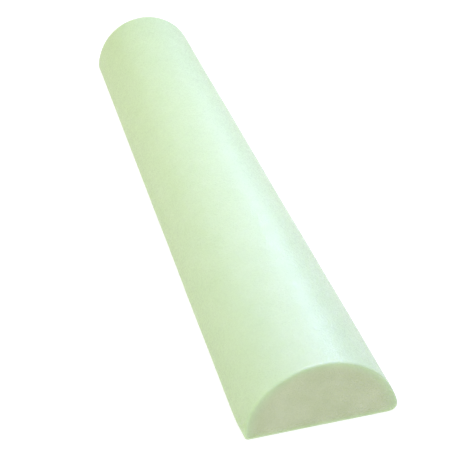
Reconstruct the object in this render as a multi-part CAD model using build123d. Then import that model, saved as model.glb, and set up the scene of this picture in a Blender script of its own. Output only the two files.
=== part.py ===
from build123d import *

import os
from math import sqrt

# Half-round foam roller: one log of closed-cell polyethylene foam with a D-shaped section.
# It lies on its flat side. The origin is the middle of the flat side, +X runs along the length,
# +Y across it and +Z up through the crown. All sizes are in millimetres.

# Driving dimensions
LENGTH = 914.4  # 36 in, end face to end face
DIAMETER = 152.4  # 6 in, of the round side
HEIGHT = 76.2  # 3 in, flat side to crown
LONG_EDGE_RADIUS = 6.0  # where the round side turns under into the flat side
END_RIM_RADIUS = 2.0  # soft rim around both cut end faces


def section() -> Sketch:
    """The D-shaped section in the YZ plane, with its flat side on Z = 0."""
    half_width = sqrt(HEIGHT * (DIAMETER - HEIGHT))
    round_side = ThreePointArc((-half_width, 0), (0, HEIGHT), (half_width, 0))
    flat_side = Line(round_side @ 1, round_side @ 0)
    half_round = make_face(round_side + flat_side)
    return Plane.YZ * fillet(half_round.vertices(), LONG_EDGE_RADIUS)


def foam_log() -> Part:
    """The section run out equally to both ends, with the rim of each end face rounded."""
    log = extrude(section(), LENGTH / 2, both=True)
    faces_along_length = log.faces().sort_by(Axis.X)
    rims = faces_along_length[0].edges() + faces_along_length[-1].edges()
    return fillet(rims, END_RIM_RADIUS)


os.makedirs("parts", exist_ok=True)
export_step(foam_log(), "parts/foam_log.step")
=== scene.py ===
import math

import bpy
from mathutils import Matrix, Vector, noise


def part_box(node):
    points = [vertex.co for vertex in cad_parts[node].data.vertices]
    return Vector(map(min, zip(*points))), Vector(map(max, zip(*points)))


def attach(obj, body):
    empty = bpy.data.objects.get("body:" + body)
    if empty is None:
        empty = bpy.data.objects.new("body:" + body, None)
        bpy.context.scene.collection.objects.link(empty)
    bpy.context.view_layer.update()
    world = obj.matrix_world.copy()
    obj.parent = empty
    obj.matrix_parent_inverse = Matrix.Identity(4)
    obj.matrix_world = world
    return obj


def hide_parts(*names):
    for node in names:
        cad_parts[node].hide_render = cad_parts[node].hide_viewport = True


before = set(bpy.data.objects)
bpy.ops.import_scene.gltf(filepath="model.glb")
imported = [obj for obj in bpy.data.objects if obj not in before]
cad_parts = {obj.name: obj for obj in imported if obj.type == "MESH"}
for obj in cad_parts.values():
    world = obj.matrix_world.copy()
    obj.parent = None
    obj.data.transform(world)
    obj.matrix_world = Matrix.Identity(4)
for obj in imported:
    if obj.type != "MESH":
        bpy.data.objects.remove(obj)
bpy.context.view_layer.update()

# Half-round foam roller: one log of closed-cell polyethylene foam, with a satin skin and two cut
# ends. Everything is in metres, in the CAD model's frame: +X along the length, +Z up, and the flat
# side on Z = 0.

NODE = "foam_log"
low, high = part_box(NODE)

MM = 0.001
LENGTH = high.x - low.x
RADIUS = high.z

# Section. Where a size is given by side, 1 is the +Y side and -1 is the -Y side.
CORNER_REACH = {1: 12.0 * MM, -1: 5.0 * MM}  # how far from each lower corner its rounding starts
CORNER_POWER = 3.0  # 2 is a circular rounding, and more is squarer
SIDE_SWELL = {1: 1.6 * MM, -1: 0.7 * MM}  # how far the foam stands proud, low down
SWELL_HEIGHT = 8.0 * MM
SWELL_SPREAD = 14.0 * MM
TRACE_HEIGHT = 0.4 * RADIUS  # height of the point that the outline is traced around
TRACE_POINTS = 1200
TRACE_HALVINGS = 26  # steps that narrow down where each traced point lies
SECTION_POINTS = 224

# Along the length
LENGTH_STEPS = 330
RIM_RADIUS = 2.2 * MM
RIM_STEPS = 5
CAP_RINGS = 34
EDGE_BAND = 0.22  # share of an end face, next to its rim, over which its colour and finish turn towards the skin's
EDGE_SKIN = 0.6  # how far towards skin the end face has turned at its rim
END_LEAN = {1: (0.0, 0.026), -1: (-0.04, 0.01)}  # each end face's slope across and up, by end

# Unevenness
WAVE_HEIGHT = 0.35 * MM
WAVE_LENGTH = 110.0 * MM
DIMPLE_HEIGHT = 0.06 * MM
DIMPLE_LENGTH = 9.0 * MM
CUT_WAVE_HEIGHT = 0.3 * MM
CUT_WAVE_LENGTH = 26.0 * MM
WORN_CORNER = Vector((LENGTH / 2, -RADIUS, 0.0))
WEAR_DEPTH = 2.2 * MM  # how far the worn corner is pushed in
WEAR_REACH = 18.0 * MM  # how far around it the wear spreads


# ---------------------------------------------------------------- shape


def inside_section(y, z, inset):
    """Positive inside the D-shaped section, pulled in by inset, with rounded lower corners."""
    side = 1 if y > 0 else -1
    swell = SIDE_SWELL[side] * math.exp(-(((z - SWELL_HEIGHT) / SWELL_SPREAD) ** 2))
    swell *= min(1.0, abs(y) / RADIUS)
    to_round_side = RADIUS + swell - inset - math.hypot(y, z)
    to_flat_side = z - inset
    near_round = max(0.0, 1 - to_round_side / CORNER_REACH[side])
    near_flat = max(0.0, 1 - to_flat_side / CORNER_REACH[side])
    return 1 - near_round**CORNER_POWER - near_flat**CORNER_POWER


def edge_point(angle, inset):
    """The point of the section's edge that lies at that angle from the middle of the section."""
    dy, dz = math.cos(angle), math.sin(angle)
    near, far = 0.0, 2 * RADIUS
    for _ in range(TRACE_HALVINGS):
        middle = (near + far) / 2
        if inside_section(middle * dy, TRACE_HEIGHT + middle * dz, inset) > 0:
            near = middle
        else:
            far = middle
    return Vector((near * dy, TRACE_HEIGHT + near * dz))


def section_outline(inset):
    """Evenly spaced points round the section, pulled in by inset."""
    trace = [edge_point(2 * math.pi * i / TRACE_POINTS, inset) for i in range(TRACE_POINTS)]
    trace.append(trace[0])
    walked = [0.0]
    for a, b in zip(trace, trace[1:]):
        walked.append(walked[-1] + (b - a).length)
    points, k = [], 0
    for i in range(SECTION_POINTS):
        wanted = walked[-1] * i / SECTION_POINTS
        while walked[k + 1] < wanted:
            k += 1
        share = (wanted - walked[k]) / (walked[k + 1] - walked[k])
        points.append(trace[k].lerp(trace[k + 1], share))
    return points


def rings():
    """(x, points, cut) from one end to the other. cut is 1 in the middle of an end face, fades
    towards its rim, and is 0 on the skin."""
    outer = section_outline(0)
    middle = Vector((0, TRACE_HEIGHT))
    rim = []
    for i in range(RIM_STEPS + 1):
        turn = math.pi / 2 * i / RIM_STEPS
        inset = RIM_RADIUS * (1 - math.sin(turn))
        back = RIM_RADIUS * (1 - math.cos(turn))
        cut = (1 - EDGE_SKIN) * math.cos(turn) ** 4
        rim.append((LENGTH / 2 - back, section_outline(inset) if inset else outer, cut))
    cap = []
    for i in range(1, CAP_RINGS + 1):
        size = i / (CAP_RINGS + 1)
        near_rim = max(0.0, (size - 1) / EDGE_BAND + 1)
        cut = 1 - EDGE_SKIN * near_rim**2
        cap.append((LENGTH / 2, [middle.lerp(p, size) for p in rim[0][1]], cut))
    end = cap + rim
    run = LENGTH / 2 - RIM_RADIUS
    body = [(-run + 2 * run * i / LENGTH_STEPS, outer, 0.0) for i in range(1, LENGTH_STEPS)]
    return [(-x, points, cut) for x, points, cut in end] + body + end[::-1]


def waves(point, length, seed):
    """Smooth noise from -1 to 1 with about that wavelength."""
    return noise.noise(point / length + Vector((seed, 7.3 * seed, 2.1 * seed)))


def uneven(x, y, z, cut):
    """One point of the log, moved as real foam is: soft waves in the skin and in the cut faces, one
    corner worn, and each end face a little out of square."""
    point = Vector((x, y, z))
    out = Vector((0, y, z - TRACE_HEIGHT)).normalized()
    on_skin = 1 - cut
    lift = WAVE_HEIGHT * waves(point, WAVE_LENGTH, 3)
    lift += DIMPLE_HEIGHT * waves(point, DIMPLE_LENGTH, 11)
    moved = point + out * lift * on_skin
    moved.y += WEAR_DEPTH * math.exp(-((point - WORN_CORNER).length / WEAR_REACH) ** 2)
    moved.z = max(moved.z, 0.0)
    end = 1 if x > 0 else -1
    across, upward = END_LEAN[end]
    lean = across * y + upward * (z - RADIUS / 2)
    moved.x += lean * abs(x) / (LENGTH / 2)
    moved.x += end * cut * CUT_WAVE_HEIGHT * waves(point, CUT_WAVE_LENGTH, 17)
    return moved


def foam_mesh():
    """The whole log as one closed mesh, with a point attribute that tells cut foam from skin."""
    stack = rings()
    n = SECTION_POINTS
    verts = [uneven(x, p.x, p.y, cut) for x, points, cut in stack for p in points]
    cuts = [cut for _, points, cut in stack for _ in points]
    faces = []
    for r in range(len(stack) - 1):
        for i in range(n):
            j = (i + 1) % n
            faces.append((r * n + i, r * n + j, (r + 1) * n + j, (r + 1) * n + i))
    for ring, end in ((0, -1), (len(stack) - 1, 1)):
        centre = len(verts)
        verts.append(uneven(end * LENGTH / 2, 0.0, TRACE_HEIGHT, 1.0))
        cuts.append(1.0)
        for i in range(n):
            a, b = ring * n + i, ring * n + (i + 1) % n
            faces.append((centre, b, a) if end < 0 else (centre, a, b))
    mesh = bpy.data.meshes.new("foam_roller")
    mesh.from_pydata([tuple(v) for v in verts], [], faces)
    mesh.attributes.new("cut", "FLOAT", "POINT").data.foreach_set("value", cuts)
    mesh.shade_smooth()
    mesh.validate()
    return mesh


# ---------------------------------------------------------------- material


class Nodes:
    """Adds nodes to one tree and links them, so that each material reads as a list of steps."""

    def __init__(self, tree):
        self.tree = tree
        tree.nodes.clear()

    def add(self, kind, **settings):
        """A node. Settings named like its properties are set, and links or values go by input."""
        node = self.tree.nodes.new(kind)
        inputs = settings.pop("inputs", {})
        for name, value in settings.items():
            setattr(node, name, value)
        for name, value in inputs.items():
            if isinstance(value, bpy.types.NodeSocket):
                self.tree.links.new(value, node.inputs[name])
            else:
                node.inputs[name].default_value = value
        return node

    def maths(self, operation, a, b=0.0):
        """One Math node's result."""
        return self.add("ShaderNodeMath", operation=operation, inputs={0: a, 1: b}).outputs[0]

    def between(self, amount, a, b):
        """a where amount is 0 and b where it is 1, as numbers."""
        node = self.add("ShaderNodeMix", data_type="FLOAT", inputs={0: amount, 2: a, 3: b})
        return node.outputs[0]

    def spread(self, value, low, high):
        """0 where value is at or under low, and 1 where it is at or over high."""
        node = self.add("ShaderNodeMapRange", inputs={"Value": value, "From Min": low, "From Max": high})
        return node.outputs[0]

    def blend(self, amount, a, b):
        """The colour a turned into the colour b by amount."""
        node = self.add("ShaderNodeMix", data_type="RGBA")
        for socket, value in zip((node.inputs[0], node.inputs[6], node.inputs[7]), (amount, a, b)):
            if isinstance(value, bpy.types.NodeSocket):
                self.tree.links.new(value, socket)
            else:
                socket.default_value = value
        return node.outputs[2]


# Colours, each between a paler and a deeper one
SKIN = (0.488, 0.666, 0.406, 1)
SKIN_DEEP = (0.438, 0.618, 0.353, 1)
CUT = (0.567, 0.628, 0.418, 1)
CUT_DEEP = (0.502, 0.569, 0.356, 1)

# Texture scales, in features per metre
CLOUDS = 45.0
LUMPS = 160.0
GRAINS = 560.0
CELLS = 650.0
PORES = 750.0

# Relief
BUMP_DEPTH = 0.27 * MM
LUMP_SHARE = 1.6  # of the skin's relief, beside 1 for the grains
PORE_SHARE = 1.5  # of the cut faces' relief, beside 1 for the grains

# Mottling of the cut faces
MOTTLE_SHARE = 0.6  # of the grains, beside 1 for the clouds
MOTTLE_SPAN = (0.6, 1.0)  # from the paler colour to the deeper one

# Surface
SKIN_ROUGHNESS = 0.55
CUT_ROUGHNESS = 0.9
FILM_FROM = 0.3  # share of the cells that have no glossy film
FILM_MOST = 0.6  # coat weight of the glossiest cell


def foam_material():
    """Polyethylene foam: satin skin over fine closed cells, and matte open cells where it is cut."""
    material = bpy.data.materials.new("polyethylene_foam")
    material.use_nodes = True
    n = Nodes(material.node_tree)
    place = n.add("ShaderNodeTexCoord").outputs["Object"]
    cut = n.add("ShaderNodeAttribute", attribute_name="cut").outputs["Fac"]

    clouds = n.add("ShaderNodeTexNoise", inputs={"Vector": place, "Scale": CLOUDS, "Detail": 4.0})
    lumps = n.add("ShaderNodeTexNoise", inputs={"Vector": place, "Scale": LUMPS, "Detail": 2.0})
    grains = n.add("ShaderNodeTexNoise", inputs={"Vector": place, "Scale": GRAINS, "Detail": 3.0})
    cells = n.add("ShaderNodeTexVoronoi", feature="SMOOTH_F1", inputs={"Vector": place, "Scale": CELLS})
    pores = n.add("ShaderNodeTexVoronoi", inputs={"Vector": place, "Scale": PORES})

    skin = n.blend(clouds.outputs[0], SKIN, SKIN_DEEP)
    mottle = n.maths("ADD", clouds.outputs[0], n.maths("MULTIPLY", grains.outputs[0], MOTTLE_SHARE))
    sawn = n.blend(n.spread(mottle, *MOTTLE_SPAN), CUT, CUT_DEEP)
    colour = n.blend(cut, skin, sawn)

    bubbles = n.maths("SUBTRACT", grains.outputs[0], cells.outputs[0])
    skin_height = n.maths("ADD", bubbles, n.maths("MULTIPLY", lumps.outputs[0], LUMP_SHARE))
    cut_height = n.maths("ADD", grains.outputs[0], n.maths("MULTIPLY", pores.outputs[0], PORE_SHARE))
    height = n.between(cut, skin_height, cut_height)
    bump = n.add("ShaderNodeBump", inputs={"Height": height, "Strength": 1.0, "Distance": BUMP_DEPTH})

    one_cell = n.add("ShaderNodeSeparateColor", inputs={"Color": pores.outputs["Color"]}).outputs[0]
    gloss = n.maths("MULTIPLY", n.spread(one_cell, FILM_FROM, 1.0), FILM_MOST)
    film = n.between(cut, gloss, 0.0)
    shader = n.add(
        "ShaderNodeBsdfPrincipled",
        inputs={
            "Base Color": colour,
            "Roughness": n.between(cut, SKIN_ROUGHNESS, CUT_ROUGHNESS),
            "Normal": bump.outputs[0],
            "IOR": 1.6,
            "Coat Weight": film,
            "Coat Roughness": 0.25,
            "Coat Normal": bump.outputs[0],
            "Subsurface Weight": 0.8,
            "Subsurface Radius": (1.0, 1.0, 0.75),
            "Subsurface Scale": 0.01,
        },
    )
    n.add("ShaderNodeOutputMaterial", inputs={"Surface": shader.outputs[0]})
    return material


def foam_roller():
    """The visible roller, which stands for the plain CAD log."""
    roller = bpy.data.objects.new("foam_roller", foam_mesh())
    bpy.context.collection.objects.link(roller)
    roller.data.materials.append(foam_material())
    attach(roller, "root")
    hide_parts(NODE)


# ---------------------------------------------------------------- studio


WHITE = (1.0, 1.0, 1.0, 1)
FLOOR_GREY = (0.2, 0.2, 0.2, 1)
FLOOR_GLOW = 0.88
FLOOR_REACH = 60.0
FLOOR_DROP = 0.05 * MM
SKY_LIGHT = (0.434, 0.425, 0.19, 1)
MIDDLE = (0, 0, 0.04)
NEAR_CROWN = (0.35, 0, 0.04)


def floor_material():
    """Matte and pale, and lit from within like a light table, so that shadows on it stay faint."""
    material = bpy.data.materials.new("floor")
    material.use_nodes = True
    n = Nodes(material.node_tree)
    shader = n.add(
        "ShaderNodeBsdfPrincipled",
        inputs={
            "Base Color": FLOOR_GREY,
            "Roughness": 1.0,
            "Specular IOR Level": 0.0,
            "Emission Color": WHITE,
            "Emission Strength": FLOOR_GLOW,
        },
    )
    n.add("ShaderNodeOutputMaterial", inputs={"Surface": shader.outputs[0]})
    return material


def floor():
    """A large pale floor just under the roller."""
    mesh = bpy.data.meshes.new("floor")
    square = ((-1, -1), (1, -1), (1, 1), (-1, 1))
    corners = [(x * FLOOR_REACH, y * FLOOR_REACH, -FLOOR_DROP) for x, y in square]
    mesh.from_pydata(corners, [], [(0, 1, 2, 3)])
    plane = bpy.data.objects.new("floor", mesh)
    bpy.context.collection.objects.link(plane)
    plane.data.materials.append(floor_material())


def area_light(name, place, target, size, power, colour):
    """A square soft light that faces its target."""
    lamp = bpy.data.lights.new(name, "AREA")
    lamp.size = size
    lamp.energy = power
    lamp.color = colour
    light = bpy.data.objects.new(name, lamp)
    light.location = place
    light.visible_camera = False
    light.rotation_euler = (Vector(target) - Vector(place)).to_track_quat("-Z", "Y").to_euler()
    bpy.context.collection.objects.link(light)


def sky():
    """Even, slightly warm light from all round, seen by the camera as a plain pale backdrop."""
    world = bpy.data.worlds.new("studio")
    bpy.context.scene.world = world
    world.use_nodes = True
    n = Nodes(world.node_tree)
    to_camera = n.add("ShaderNodeLightPath").outputs["Is Camera Ray"]
    colour = n.blend(to_camera, SKY_LIGHT, WHITE)
    back = n.add("ShaderNodeBackground", inputs={"Color": colour, "Strength": 1.0})
    n.add("ShaderNodeOutputWorld", inputs={"Surface": back.outputs[0]})


def camera():
    """The camera, above one end and looking along the roller."""
    place = Vector((1.1962, -0.2501, 0.7081))
    aim = Vector((0.041, 0.0094, -0.0235))
    roll = math.radians(-2.645)
    lens = bpy.data.cameras.new("camera")
    lens.lens = 87.4
    lens.sensor_width = 36.0
    eye = bpy.data.objects.new("camera", lens)
    facing = (aim - place).to_track_quat("-Z", "Y").to_matrix().to_4x4()
    eye.matrix_world = Matrix.Translation(place) @ facing @ Matrix.Rotation(roll, 4, "Z")
    bpy.context.collection.objects.link(eye)
    bpy.context.scene.camera = eye


camera()
foam_roller()
floor()
sky()
area_light("over", (0.0, 0.12, 1.4), MIDDLE, 0.5, 18.6, (0.87, 0.74, 1.0))
area_light("near", (0.5, 0.1, 1.2), NEAR_CROWN, 0.5, 8.0, (0.26, 0.21, 1.0))
area_light("back", (-1.5, 1.16, 1.23), MIDDLE, 0.5, 18.5, (0.5, 0.65, 1.0))
area_light("left", (-0.4, -2.0, 0.9), MIDDLE, 1.6, 13.2, (1.0, 0.86, 0.4))
area_light("front", (2.0, -0.3, 0.9), MIDDLE, 1.4, 11.6, (0.64, 0.7, 1.0))
bpy.context.scene.view_settings.view_transform = "Standard"
